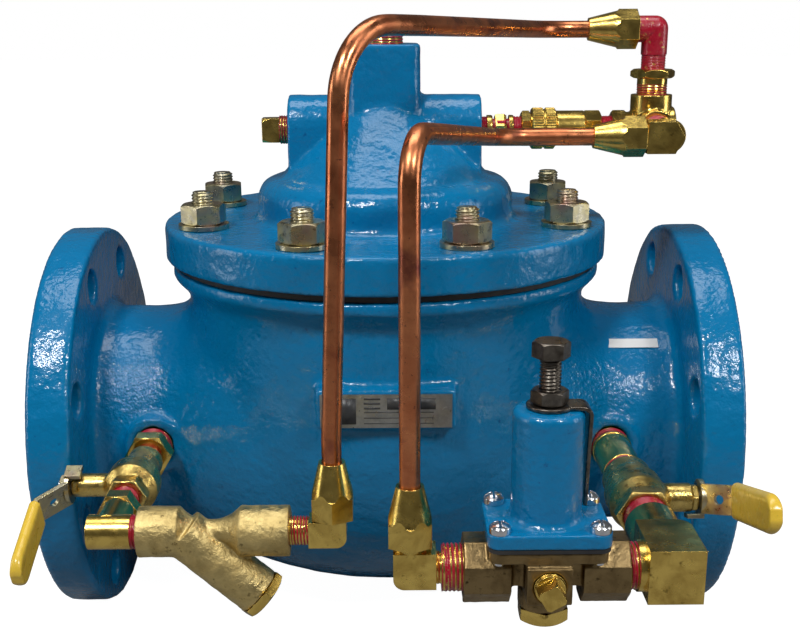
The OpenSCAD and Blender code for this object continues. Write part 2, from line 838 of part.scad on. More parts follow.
module tee_bushing() centred() color("#b5872f") tee_frame() difference() {
    union() {
        rod_z(npt_threeeighth, 10.5, 19);
        ridged_rod(npt_threeeighth, 19, 24.5, 1.41, 0.35);
        rod_z(npt_threeeighth, 24.5, 28);
        turned_hex(22.2, 28, 33, true);
    }
    rod_z(npt_quarter + fit, 22, 34);
    rod_z(passage_r, 10, 23);
}

module top_elbow() centred() color("#8f1430") tee_frame() {
    rise = top_elbow_z - side_port_z;
    difference() {
        union() {
            ridged_rod(npt_quarter, 24, rise - 8, 1.41, 0.35);
            rod_z(7.3, rise - 14, rise);
            translate([0, 0, rise]) sphere(r = 7.3);
            translate([0, 0, rise]) rod_x(7.3, -20, 0);
        }
        rod_z(3.6, 23, rise);
        translate([0, 0, rise]) rod_x(3.6, -23, 0);
    }
}

module front_elbow() centred() color("#c79a35")
    translate([tee_x, front_elbow_y, side_port_z]) difference() {
        union() {
            translate([0, 8, 0]) rotate([90, 0, 0]) linear_extrude(17)
                polygon([[-13, -8.5], [2, -8.5], [6.9, 0], [2, 8.5], [-13, 8.5]]);
            rod_y(9.2, 0, 9.5);
            rotate([-90, 0, 0]) ridged_rod(npt_threeeighth, 9.5, 39, 1.41, 0.35);
            rod_x(flare_r, -23, -12);
        }
        rod_x(3.6, -24, 0);
        rod_y(3.6, 0, 40);
    }

// ---------- Cock handles ----------

// Strip that runs level, climbs outward, then runs level again, as one bent plate
module lever_strip(width, thick, foot, climb_run, climb, tip) {
    knee = foot + climb_run;
    mitre = thick * tan(atan2(climb, climb_run) / 2);
    linear_extrude(thick) circle(r = width * 0.62);
    rotate([90, 0, 0]) linear_extrude(width, center = true) polygon([
        [0, 0], [foot, 0], [knee, climb], [tip, climb],
        [tip, climb + thick], [knee - mitre, climb + thick], [foot - mitre, thick], [0, thick]
    ]);
}

module lever(width, thick, foot, climb_run, climb, tip, bore) difference() {
    union() {
        lever_strip(width, thick, foot, climb_run, climb, tip);
        block([-4, width * 0.5 + 0.6, -6], [4, width * 0.62 + 1, thick]);
    }
    rod_z(bore, -1, thick + 1);
    translate([foot + climb_run * 0.5, 0, climb * 0.5 + thick / 2]) rotate([0, -atan2(climb, climb_run), 0])
        rod_z(2.4, -4, 4);
}

// Rounded sleeve over the lever's level end, with the strip's own slot through it
module grip(width, thick, from, climb, tip) {
    half = width / 2 + 1.8;
    shell = thick / 2 + 1.8;
    translate([from, 0, climb + thick / 2]) difference() {
        rotate([0, 90, 0]) linear_extrude(tip - from + 2) {
            square([2 * shell, 2 * (half - shell)], center = true);
            for (y = [-1, 1]) translate([0, y * (half - shell)]) circle(r = shell);
        }
        block([-1, -width / 2, -thick / 2], [tip - from, width / 2, thick / 2]);
    }
}

module ball_and_stem(ball_r, bore_r, stem_radius, length) difference() {
    union() {
        sphere(r = ball_r);
        rod_z(stem_radius, 0, length);
    }
    rod_x(bore_r, -ball_r - 1, ball_r + 1);
}

module inlet_ball_and_stem() centred() color("#b9bcc0") inlet_handle_frame()
    ball_and_stem(8.8, passage_r, 3.2, 37.5);

module outlet_ball_and_stem() centred() color("#b9bcc0") outlet_handle_frame()
    ball_and_stem(10.7, 6.5, 3.8, 38.5);

module inlet_lever() centred() color("#a58f4e") inlet_handle_frame() translate([0, 0, 31])
    lever(15, 2.2, 6, 12, 12.5, 62, 3.2 + fit);

module outlet_lever() centred() color("#a58f4e") outlet_handle_frame() translate([0, 0, 31])
    lever(15, 2.4, 7, 11, 13, 78, 3.8 + fit);

module inlet_lever_grip() centred() color("#e3c33c") inlet_handle_frame() translate([0, 0, 31])
    grip(15, 2.2, 20, 12.5, 62);

module outlet_lever_grip() centred() color("#e3c33c") outlet_handle_frame() translate([0, 0, 31])
    grip(15, 2.4, 20, 13, 78);

module lever_nut(af, bore, z) difference() {
    turned_hex(af, z, z + 3.6, true);
    rod_z(bore, z - 1, z + 5);
}

module inlet_lever_nut() centred() color("#a58f4e") inlet_handle_frame()
    lever_nut(9.5, 3.2 + fit, 33.2);

module outlet_lever_nut() centred() color("#a58f4e") outlet_handle_frame()
    lever_nut(11, 3.8 + fit, 33.4);

// ---------- Outlet line ----------

// Long nipple from the body's port to the outlet cock
module outlet_nipple() centred() color("#b98b3e") outlet_frame() difference() {
    union() {
        ridged_rod(npt_half, 58, 72, 1.81, 0.45);
        rod_z(npt_half, 72, 111);
        ridged_rod(npt_half, 111, 127, 1.81, 0.45);
    }
    rod_z(6.5, 57, 128);
}

module outlet_elbow() centred() color("#c79a35") outlet_frame() difference() {
    half = 12.3;
    round = 7;
    union() {
        rod_z(12.6, 178, 198);
        translate([0, 12.7, 198]) rotate([90, 0, 0]) linear_extrude(25.4) difference() {
            translate([-half, 0]) square([2 * half, 34.5]);
            translate([half - round, 0]) difference() {
                square(round);
                translate([0, round]) circle(r = round);
            }
        }
        translate([0, 0, pilot_front]) rotate([0, -90, 0]) {
            rod_z(11.6, 12.3, 15.5);
            ridged_rod(npt_half, 15.5, 22, 1.81, 0.45);
            rod_z(npt_half, 22, 30.5);
        }
    }
    rod_z(npt_half + fit, 177, 191);
    rod_z(6.5, 190, pilot_front);
    translate([0, 0, pilot_front]) rod_x(6.5, -33, 0);
}

// ---------- Pilot valve ----------

bonnet_z0 = 17.3;
bonnet_z1 = 24;
chimney_z = 74.5;
flange_z0 = 10;
screw_dx = 21.5;
screw_dy = 16;
socket_r = 14.6;
socket_depth = 21;

module flange_plate(z0, z1, w, d, round) translate([0, 0, z0]) linear_extrude(z1 - z0) {
    square([w, d - 2 * round], center = true);
    square([w - 2 * round, d], center = true);
    for (x = [-1, 1], y = [-1, 1]) translate([x * (w / 2 - round), y * (d / 2 - round)]) circle(r = round);
}

// Puts children at the four bonnet screws
module screw_places() for (x = [-1, 1], y = [-1, 1]) translate([x * screw_dx, y * screw_dy, 0]) children();

// Eight-sided socket along X
module octagon_x(across, x0, x1)
    translate([x0, 0, 0]) rotate([0, 90, 0]) rotate([0, 0, 22.5])
        cylinder(r = across / 2 / cos(22.5), h = x1 - x0, $fn = 8);

module pilot_body() centred() color("#8a6d3f") pilot_frame() difference() {
    union() {
        for (side = [0, 180]) rotate([0, 0, side])
            octagon_x(2 * socket_r, pilot_len / 2 - socket_depth, pilot_len / 2);
        block([-20, -11, -4.5], [20, 11, 14]);
        rod_z(15, -4, 14);
        rod_z(11.5, -18, 0);
        block([-10, -21.5, -8.5], [10, 0, 9]);
        flange_plate(flange_z0, bonnet_z0 - 1.8, pilot_flange_w - 2.4, pilot_flange_d - 2.4, 5);
    }
    for (side = [0, 180]) rotate([0, 0, side]) {
        rod_x(npt_half + fit, pilot_len / 2 - 11, pilot_len / 2 + 1);
        rod_x(4, 3, pilot_len / 2);
    }
    rod_z(6, -12, 5);
    rod_z(8 + fit, -19, -10);
    rod_z(4 + fit, 0, 12);
    rod_z(12.5, 9, 16);
    rod_y(npt_quarter + fit, -22.5, -11);
    rod_y(2, -12, 0);
    screw_places() rod_z(2.4, flange_z0 - 1, bonnet_z0);
}

module pilot_seat() centred() color("#b9bcc0") pilot_frame() difference() {
    rod_z(4, 1, 8);
    rod_z(2.6, 0, 9);
}

module pilot_diaphragm() centred() color("#1d1e20") pilot_frame() difference() {
    flange_plate(bonnet_z0 - 1.8, bonnet_z0, pilot_flange_w - 1.2, pilot_flange_d - 1.2, 5);
    screw_places() rod_z(2.6, bonnet_z0 - 3, bonnet_z0 + 1);
    rod_z(2.4, bonnet_z0 - 3, bonnet_z0 + 1);
}

module pilot_stem() centred() color("#b9bcc0") pilot_frame() {
    rod_z(4.6, -7, -3);
    rod_z(1.9, -3, bonnet_z0 + 4);
    rod_z(9, bonnet_z0 + 0.3, bonnet_z0 + 3);
    rod_z(9, bonnet_z0 - 4.5, bonnet_z0 - 2.1);
}

module pilot_bonnet() centred() color("#0a78b4") pilot_frame() difference() {
    union() {
        flange_plate(bonnet_z0, bonnet_z1, pilot_flange_w, pilot_flange_d, 6);
        rotate_extrude() {
            edge = 3;
            root = 4;
            translate([0, bonnet_z0]) square([chimney_r, chimney_z - edge - bonnet_z0]);
            translate([0, bonnet_z0]) square([chimney_r - edge, chimney_z - bonnet_z0]);
            translate([chimney_r - edge, chimney_z - edge]) circle(r = edge);
            difference() {
                translate([chimney_r - eps, bonnet_z1 - eps]) square([root, root]);
                translate([chimney_r + root, bonnet_z1 + root]) circle(r = root);
            }
        }
    }
    rod_z(11.5, bonnet_z0 - 1, 66);
    rod_z(adjuster_d / 2 + fit, 65, chimney_z + 1);
    screw_places() rod_z(2.5, bonnet_z0 - 1, bonnet_z1 + 1);
}

module pilot_screws() centred() color("#d8d9da") pilot_frame() screw_places() {
    rod_z(2.3, flange_z0 - 1, bonnet_z1 + 1);
    difference() {
        union() {
            rod_z(4.65, bonnet_z1 + eps, bonnet_z1 + 2.5);
            translate([0, 0, bonnet_z1 + 2.5]) rotate_extrude() intersection() {
                translate([0, -3.2]) circle(r = 5.7);
                square([4.65, 4]);
            }
        }
        block([-0.6, -5, bonnet_z1 + 3.4], [0.6, 5, bonnet_z1 + 7]);
        block([-5, -0.6, bonnet_z1 + 3.4], [5, 0.6, bonnet_z1 + 7]);
    }
}

module pilot_bottom_plug() centred() color("#c79a35") pilot_frame() difference() {
    union() {
        rod_z(8, -18, -12);
        rotate([0, 0, 30]) rotate([180, 0, 0]) turned_hex(21, 18, 24.5);
    }
    rod_z(2.4, -16, -11);
}

module pilot_spring() centred() color("#77797c") pilot_frame()
    coil_spring(8.2, 1.3, bonnet_z0 + 3.1, 34, 7);

module spring_button() centred() color("#8f9498") pilot_frame() {
    rod_z(10.8, bonnet_z0 + 37.3, bonnet_z0 + 40);
    cone_z(10.8, 5, bonnet_z0 + 40, bonnet_z0 + 42.5);
}

module adjusting_screw() centred() color("#5b5650") pilot_frame() {
    ridged_rod(adjuster_d / 2, bonnet_z0 + 42.7, 97, 1.59, 0.4);
    turned_hex(14.3, 97, 104);
}

module jam_nut() centred() color("#5b5650") pilot_frame() difference() {
    turned_hex(14.3, chimney_z + 2.1, chimney_z + 8.3, true);
    rod_z(adjuster_d / 2 + fit, chimney_z, chimney_z + 10);
}

// Strap under the jam nut: over the chimney, down its side, and out to a bonnet screw
module lock_bracket() centred() color("#3f3a36") pilot_frame() {
    side = chimney_r + 0.8;
    top = chimney_z + 0.1;
    translate([0, 0, top]) linear_extrude(1.8) difference() {
        union() {
            circle(r = 10);
            translate([0, -6]) square([side, 12]);
        }
        circle(r = adjuster_d / 2 + fit);
    }
    foot = bonnet_z1 + 4.4;
    translate([side, 0, 0]) rotate([90, 0, 90]) linear_extrude(1.8)
        polygon([[-6, top + 1.8], [6, top + 1.8], [screw_dy - 5.2, foot], [screw_dy - 15, foot]]);
}

// ---------- Plates ----------

module id_plate() centred() color("#a7a9a5") {
    difference() {
        translate([0, -119.6, 40.5]) rotate([90, 0, 0]) linear_extrude(1) square([68, 18], center = true);
        for (x = [-31, 31]) translate([x, 0, 40.5]) rod_y(1.3, -122, -118);
    }
    for (x = [-31, 31]) translate([x, 0, 40.5]) {
        rod_y(1.2, -120.6, -114);
        rod_y(2.2, -121.3, -120.6);
    }
}

module number_label() centred() color("#efeee9") intersection() {
    difference() {
        rod_x(neck_r + 0.4, 125.5, 156.5);
        rod_x(neck_r + 0.05, 124, 158);
    }
    rotate([-53, 0, 0]) block([120, -100, -3.2], [160, -20, 3.2]);
}

valve_body();
seat_ring();
valve_cover();
cover_studs();
cover_nuts();
cover_washers();
main_diaphragm();
stem_bushing();
main_spring();
main_stem();
seat_disc();
disc_retainer();
disc_guide();
diaphragm_washers();
main_stem_nut();
pipe_plugs();
inlet_port_bushing();
inlet_cock_body();
cock_ball_seats();
inlet_elbow();
close_nipples();
strainer_body();
strainer_screen();
strainer_cap();
strainer_outlet_elbow();
flare_nuts();
cover_control_tube();
top_elbow();
tee_bushing();
control_tee();
front_elbow();
pilot_supply_tube();
pilot_inlet_elbow();
flow_control_body();
flow_control_sleeve();
inlet_ball_and_stem();
inlet_lever();
inlet_lever_grip();
inlet_lever_nut();
outlet_nipple();
outlet_cock_body();
outlet_elbow();
outlet_ball_and_stem();
outlet_lever();
outlet_lever_grip();
outlet_lever_nut();
pilot_body();
pilot_seat();
pilot_diaphragm();
pilot_bonnet();
pilot_screws();
pilot_bottom_plug();
pilot_stem();
pilot_spring();
spring_button();
adjusting_screw();
jam_nut();
lock_bracket();
id_plate();
number_label();
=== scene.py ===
"""Looks for a pilot-operated pressure reducing valve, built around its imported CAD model.

Units are metres. The CAD's origin is the centre of the inlet flange's face, +X runs with the
flow, +Z is up and -Y faces the pilot valve. MM turns millimetres into metres.
"""

import json
import math

import bmesh
import bpy
import numpy as np
from mathutils import Matrix, Vector, noise

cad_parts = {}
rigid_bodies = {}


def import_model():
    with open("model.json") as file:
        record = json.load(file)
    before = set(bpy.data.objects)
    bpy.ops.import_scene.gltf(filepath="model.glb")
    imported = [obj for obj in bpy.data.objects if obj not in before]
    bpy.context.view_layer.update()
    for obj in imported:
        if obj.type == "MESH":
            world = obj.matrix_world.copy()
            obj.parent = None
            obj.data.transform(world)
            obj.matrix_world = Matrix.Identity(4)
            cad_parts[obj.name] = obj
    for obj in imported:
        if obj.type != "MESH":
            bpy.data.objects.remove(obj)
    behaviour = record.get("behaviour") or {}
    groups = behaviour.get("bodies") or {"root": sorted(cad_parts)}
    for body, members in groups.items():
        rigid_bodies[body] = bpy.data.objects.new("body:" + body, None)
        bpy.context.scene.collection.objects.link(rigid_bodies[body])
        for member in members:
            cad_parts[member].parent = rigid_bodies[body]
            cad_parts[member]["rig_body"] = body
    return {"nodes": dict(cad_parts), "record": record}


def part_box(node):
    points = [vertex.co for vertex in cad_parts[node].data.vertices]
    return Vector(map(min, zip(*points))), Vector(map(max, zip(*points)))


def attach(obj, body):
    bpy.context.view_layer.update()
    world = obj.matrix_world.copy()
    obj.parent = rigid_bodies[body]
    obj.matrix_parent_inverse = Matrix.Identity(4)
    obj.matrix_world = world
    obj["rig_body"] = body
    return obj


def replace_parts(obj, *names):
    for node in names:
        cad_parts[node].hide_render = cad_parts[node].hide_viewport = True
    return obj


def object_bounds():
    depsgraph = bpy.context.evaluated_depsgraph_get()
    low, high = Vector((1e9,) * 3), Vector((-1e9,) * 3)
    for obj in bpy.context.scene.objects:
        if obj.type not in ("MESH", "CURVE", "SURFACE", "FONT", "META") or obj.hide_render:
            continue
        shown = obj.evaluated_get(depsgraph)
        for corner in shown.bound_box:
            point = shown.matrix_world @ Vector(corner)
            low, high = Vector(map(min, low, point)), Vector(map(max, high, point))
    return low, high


MM = 0.001
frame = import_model()
NODES = frame["nodes"]
CAD_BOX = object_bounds()

# Lines of the control piping, in millimetres from the cover's axis, which stands at COVER_X
COVER_X = 190.5
INLET_X, INLET_Z = -131.0, 4.0
OUTLET_X, OUTLET_Z = 126.5, 1.0
STRAINER_Y = -186.0
INLET_DROOP, OUTLET_RISE = 22.0, 17.0
PLATE_FACE_Y = -120.6
STUD_CIRCLE, STUD_COUNT, STUD_RADIUS = 109.2, 8, 6.2
HEAD_Z = 98.0
PILOT_X, PILOT_Y = 70.0, -219.5
TEE_X, SIDE_Z = 153.5, 172.0
THREAD_QUARTER, THREAD_THREE_EIGHTH, THREAD_HALF = 6.85, 8.55, 10.65


def at(x, y, z):
    """A point in metres from millimetres measured from the cover's axis."""
    return Vector(((x + COVER_X) * MM, y * MM, z * MM))


# ---------- Camera, floor and light ----------

# The camera's angles in degrees, its distance in metres from the point it faces, and its focal
# length and upward shift in pixels of a picture PICTURE_WIDTH pixels wide
PITCH, YAW, ROLL = 17.05, 0.43, -0.27
CAMERA_DISTANCE, FOCAL_LENGTH, UPWARD_SHIFT, PICTURE_WIDTH = 0.7285, 1182.5, 55.5, 800
SENSOR_WIDTH = 36.0
LIGHT_AIM = at(0, -60, 20)
WHITE = (1.0, 1.0, 1.0, 1.0)
ROOM_LIGHT = 0.08
FLOOR_GLOW = 0.985


def make_camera():
    """Camera at the picture's own angle: a little above, looking down at the front."""
    pitch, yaw, roll = math.radians(PITCH), math.radians(YAW), math.radians(ROLL)
    ahead = Vector(
        (math.sin(yaw) * math.cos(pitch), math.cos(yaw) * math.cos(pitch), -math.sin(pitch))
    )
    level = Vector((math.cos(yaw), -math.sin(yaw), 0.0))
    upward = level.cross(ahead)
    right = level * math.cos(roll) + upward * math.sin(roll)
    up = upward * math.cos(roll) - level * math.sin(roll)
    data = bpy.data.cameras.new("camera")
    data.sensor_width = SENSOR_WIDTH
    data.lens = SENSOR_WIDTH * FOCAL_LENGTH / PICTURE_WIDTH
    data.shift_y = UPWARD_SHIFT / PICTURE_WIDTH
    data.clip_end = 100
    camera = bpy.data.objects.new("camera", data)
    place = Matrix((right, up, -ahead)).transposed().to_4x4()
    place.translation = at(8.1, 0.0, 23.0) - ahead * CAMERA_DISTANCE
    camera.matrix_world = place
    bpy.context.scene.collection.objects.link(camera)
    bpy.context.scene.camera = camera


def area_light(name, where, size, power):
    """A white area light, turned to face the valve."""
    data = bpy.data.lights.new(name, "AREA")
    data.shape = "RECTANGLE"
    data.size, data.size_y = size
    data.energy = power
    light = bpy.data.objects.new(name, data)
    place = Vector(where)
    light.location = place
    light.rotation_euler = (LIGHT_AIM - place).to_track_quat("-Z", "Y").to_euler()
    bpy.context.scene.collection.objects.link(light)


def make_lights():
    """Five soft lights, in a room that is white to the camera and dim to everything else."""
    area_light("key_light", (-0.35, -1.00, 1.30), (0.30, 0.22), 13)
    area_light("fill_light", (0.90, -1.00, 1.05), (0.24, 0.24), 7)
    area_light("top_light", (0.19, 0.05, 1.5), (1.2, 0.6), 9)
    area_light("side_light_left", (-1.2, -0.2, 0.35), (0.35, 0.9), 3)
    area_light("side_light_right", (1.6, -0.2, 0.35), (0.35, 0.9), 3.5)
    world = bpy.data.worlds.new("studio")
    world.use_nodes = True
    tree = world.node_tree
    background = tree.nodes["Background"]
    background.inputs["Color"].default_value = WHITE
    seen = tree.nodes.new("ShaderNodeLightPath").outputs["Is Camera Ray"]
    strength = tree.nodes.new("ShaderNodeMapRange")
    strength.inputs["To Min"].default_value = ROOM_LIGHT
    strength.inputs["To Max"].default_value = 1.0
    tree.links.new(seen, strength.inputs["Value"])
    tree.links.new(strength.outputs["Result"], background.inputs["Strength"])
    bpy.context.scene.world = world


def make_floor():
    """A plain pale floor under the lowest point, brighter to the camera than to the valve."""
    half, depth = 9.0, CAD_BOX[0][2]
    mesh = bpy.data.meshes.new("floor")
    corners = [(-half, -half), (half, -half), (half, half), (-half, half)]
    mesh.from_pydata([(x, y, depth) for x, y in corners], [], [(0, 1, 2, 3)])
    floor = bpy.data.objects.new("floor", mesh)
    bpy.context.scene.collection.objects.link(floor)
    look = Look("pale_floor")
    look.colour(look.blend(look.noise(3, 2), (0.22, 0.22, 0.22), (0.25, 0.25, 0.25)))
    look.number("Roughness", 0.75)
    look.number("Emission Color", WHITE)
    seen = look.add("ShaderNodeLightPath").outputs["Is Camera Ray"]
    look.drive("Emission Strength", look.part(seen, 0.0, 1.0, 0.0, FLOOR_GLOW))
    mesh.materials.append(look.material)


# ---------- Material building ----------


class Look:
    """A Principled material with short calls for the textures that all the looks share."""

    def __init__(self, name):
        self.material = bpy.data.materials.new(name)
        self.material.use_nodes = True
        self.tree = self.material.node_tree
        self.shader = self.tree.nodes["Principled BSDF"]
        self.where = self.add("ShaderNodeTexCoord").outputs["Object"]

    def add(self, kind):
        return self.tree.nodes.new(kind)

    def join(self, source, target):
        self.tree.links.new(source, target)

    def noise(self, scale, detail=3, roughness=0.55, twist=0.0):
        node = self.add("ShaderNodeTexNoise")
        node.inputs["Scale"].default_value = scale
        node.inputs["Detail"].default_value = detail
        node.inputs["Roughness"].default_value = roughness
        node.inputs["Distortion"].default_value = twist
        self.join(self.where, node.inputs["Vector"])
        return node.outputs["Fac"]

    def cells(self, scale, spread=1.0):
        node = self.add("ShaderNodeTexVoronoi")
        node.inputs["Scale"].default_value = scale
        node.inputs["Randomness"].default_value = spread
        self.join(self.where, node.inputs["Vector"])
        return node.outputs["Distance"]

    def near(self, point, reach):
        """1 around a point, falling away to 0 at reach from it."""
        node = self.add("ShaderNodeVectorMath")
        node.operation = "DISTANCE"
        self.join(self.where, node.inputs[0])
        node.inputs[1].default_value = point
        return self.part(node.outputs["Value"], reach, reach * 0.3)

    def bands(self, scale, axis, twist=0.0):
        node = self.add("ShaderNodeTexWave")
        node.bands_direction = axis
        node.inputs["Scale"].default_value = scale
        node.inputs["Distortion"].default_value = twist
        node.inputs["Detail"].default_value = 2
        self.join(self.where, node.inputs["Vector"])
        return node.outputs["Fac"]

    def part(self, value, low, high, to_low=0.0, to_high=1.0):
        """value between low and high, spread to run between to_low and to_high."""
        node = self.add("ShaderNodeMapRange")
        ends = {"From Min": low, "From Max": high, "To Min": to_low, "To Max": to_high}
        for socket, number in ends.items():
            node.inputs[socket].default_value = number
        self.join(value, node.inputs["Value"])
        return node.outputs["Result"]

    def maths(self, operation, first, second):
        node = self.add("ShaderNodeMath")
        node.operation = operation
        for socket, value in zip(node.inputs, (first, second)):
            if isinstance(value, (int, float)):
                socket.default_value = value
            else:
                self.join(value, socket)
        return node.outputs["Value"]

    def blend(self, share, first, second):
        """Colour between two, each a tuple or a colour already made."""
        node = self.add("ShaderNodeMix")
        node.data_type = "RGBA"
        self.join(share, node.inputs["Factor"])
        for socket, value in zip((node.inputs[6], node.inputs[7]), (first, second)):
            if isinstance(value, tuple):
                socket.default_value = (*value, 1.0)
            else:
                self.join(value, socket)
        return node.outputs[2]

    def colour(self, value):
        self.join(value, self.shader.inputs["Base Color"])

    def number(self, socket, value):
        self.shader.inputs[socket].default_value = value

    def drive(self, socket, value):
        self.join(value, self.shader.inputs[socket])

    def edges(self):
        """How sharp the surface is here: about 0.5 on a flat, more on an edge."""
        return self.add("ShaderNodeNewGeometry").outputs["Pointiness"]

    def relief(self, *layers, round_edges=0.0, coat=False):
        """Bump from (height, depth in metres) layers, over edges rounded by the given radius."""
        normal = None
        if round_edges:
            bevel = self.add("ShaderNodeBevel")
            bevel.samples = 6
            bevel.inputs["Radius"].default_value = round_edges
            normal = bevel.outputs["Normal"]
        for height, depth in layers:
            bump = self.add("ShaderNodeBump")
            bump.inputs["Strength"].default_value = 1.0
            bump.inputs["Distance"].default_value = depth
            self.join(height, bump.inputs["Height"])
            if normal is not None:
                self.join(normal, bump.inputs["Normal"])
            normal = bump.outputs["Normal"]
        self.join(normal, self.shader.inputs["Normal"])
        if coat:
            self.join(normal, self.shader.inputs["Coat Normal"])


# ---------- Materials ----------


def blue_enamel():
    """Thick blue paint over sand-cast iron, pebbly beside the ports and on the dome."""
    look = Look("blue_enamel")
    shade = look.blend(look.noise(7, 3), (0.0, 0.155, 0.355), (0.0, 0.195, 0.430))
    specks = look.part(look.noise(210, 3, 0.7), 0.66, 0.74)
    shade = look.blend(specks, shade, (0.0, 0.09, 0.25))
    worn = look.part(look.maths("MULTIPLY", look.edges(), look.noise(90, 3)), 0.36, 0.42)
    look.colour(look.blend(worn, shade, (0.02, 0.24, 0.52)))
    look.drive("Roughness", look.part(look.noise(40, 4), 0.3, 0.7, 0.16, 0.32))
    look.number("Specular IOR Level", 0.25)
    look.number("Coat Weight", 0.5)
    look.number("Coat Roughness", 0.05)
    pebbles = look.near(at(114, -64, 34), 0.030)
    for place, reach in ((at(-142, -64, 34), 0.030), (at(-60, -62, 190), 0.034)):
        pebbles = look.maths("MAXIMUM", pebbles, look.near(place, reach))
    look.relief(
        (look.maths("MULTIPLY", look.noise(400, 2), pebbles), 0.0013),
        (look.noise(48, 4, 0.6), 0.0010),
        (look.noise(230, 3, 0.6), 0.00050),
        (look.part(look.cells(150), 0.0, 0.35), 0.00018),
        coat=True,
    )
    return look.material


def brass(name, bright, dark, shine, cast=0.0, rounding=0.0004):
    """Brass or bronze: fine brushing, or with cast above 0 a sand-cast skin that deep."""
    look = Look(name)
    brushed = look.bands(420, "DIAGONAL", 6.0)
    tarnish = look.part(look.noise(75, 5, 0.65, 0.6), 0.42, 0.68)
    shade = look.blend(tarnish, bright, dark)
    stain = look.part(look.noise(260, 4, 0.7), 0.60, 0.72)
    look.colour(look.blend(stain, shade, tuple(0.45 * c for c in dark)))
    look.number("Metallic", 1.0)
    look.drive("Roughness", look.part(look.noise(130, 4), 0.3, 0.7, shine, shine + 0.16 + cast * 0.2))
    layers = [(brushed, 0.00001), (look.noise(500, 2), 0.00003)]
    if cast:
        layers = [(look.noise(620, 3, 0.7), 0.0003 * cast), (look.noise(240, 3, 0.6), 0.0006 * cast)]
    look.relief(*layers, round_edges=rounding)
    return look.material


def copper():
    look = Look("copper")
    streaks = look.noise(26, 6, 0.7, 1.2)
    shade = look.blend(look.part(streaks, 0.35, 0.7), (0.80, 0.30, 0.13), (0.52, 0.15, 0.065))
    violet = look.part(look.noise(34, 4, 0.6), 0.56, 0.70)
    shade = look.blend(violet, shade, (0.27, 0.075, 0.06))
    spots = look.part(look.noise(420, 3, 0.7), 0.64, 0.72)
    look.colour(look.blend(spots, shade, (0.20, 0.07, 0.05)))
    look.number("Metallic", 1.0)
    look.drive("Roughness", look.part(look.noise(90, 4), 0.3, 0.7, 0.20, 0.42))
    look.relief((look.noise(300, 3), 0.00006), (look.noise(45, 2), 0.0004))
    return look.material


def sealant():
    look = Look("crimson_sealant")
    cover = look.part(look.noise(330, 4, 0.65), 0.60, 0.68)
    crimson = look.blend(look.noise(160, 3), (0.50, 0.006, 0.030), (0.25, 0.004, 0.016))
    look.colour(look.blend(cover, crimson, (0.62, 0.40, 0.13)))
    look.drive("Metallic", look.part(cover, 0.0, 1.0, 0.0, 0.9))
    look.drive("Roughness", look.part(look.noise(220, 3), 0.3, 0.7, 0.16, 0.40))
    look.number("Coat Weight", 0.4)
    look.number("Coat Roughness", 0.12)
    look.relief((look.noise(520, 3, 0.6), 0.00035), (look.noise(1500, 2), 0.0001))
    return look.material


def yellow_zinc():
    look = Look("yellow_zinc")
    clouds = look.part(look.noise(110, 4, 0.6, 1.0), 0.35, 0.65)
    tint = look.blend(clouds, (0.60, 0.52, 0.27), (0.46, 0.43, 0.33))
    tint = look.blend(look.part(look.noise(60, 3), 0.52, 0.72), tint, (0.48, 0.33, 0.27))
    grime = look.part(look.noise(420, 4, 0.7), 0.60, 0.70)
    look.colour(look.blend(grime, tint, (0.16, 0.13, 0.08)))
    look.number("Metallic", 1.0)
    look.drive("Roughness", look.part(look.noise(200, 4), 0.3, 0.7, 0.22, 0.42))
    look.relief((look.noise(700, 3), 0.00005), round_edges=0.0004)
    return look.material


def metal(name, bright, dark, low, high, rounding=0.0003):
    look = Look(name)
    look.colour(look.blend(look.part(look.noise(150, 5, 0.65), 0.4, 0.65), bright, dark))
    look.number("Metallic", 1.0)
    look.drive("Roughness", look.part(look.noise(260, 4), 0.3, 0.7, low, high))
    look.relief((look.noise(800, 3), 0.00004), (look.noise(240, 2), 0.00006), round_edges=rounding)
    return look.material


def vinyl():
    look = Look("yellow_vinyl")
    shade = look.blend(look.noise(60, 3), (0.80, 0.50, 0.04), (0.87, 0.59, 0.07))
    scuffs = look.part(look.noise(300, 5, 0.75), 0.66, 0.74)
    look.colour(look.blend(scuffs, shade, (0.42, 0.30, 0.05)))
    look.drive("Roughness", look.part(look.noise(120, 3), 0.3, 0.7, 0.22, 0.36))
    look.number("Coat Weight", 0.35)
    look.number("Coat Roughness", 0.15)
    look.number("Subsurface Weight", 0.05)
    look.relief((look.noise(170, 2), 0.0004), (look.noise(900, 2), 0.00003))
    return look.material


def soft(name, first, second, rough):
    """Rubber, plastic or paper: little shine and a fine grain."""
    look = Look(name)
    look.colour(look.blend(look.part(look.noise(120, 4), 0.35, 0.7), first, second))
    look.drive("Roughness", look.part(look.noise(200, 3), 0.3, 0.7, rough - 0.08, rough + 0.08))
    look.relief((look.noise(900, 3), 0.00006))
    return look.material


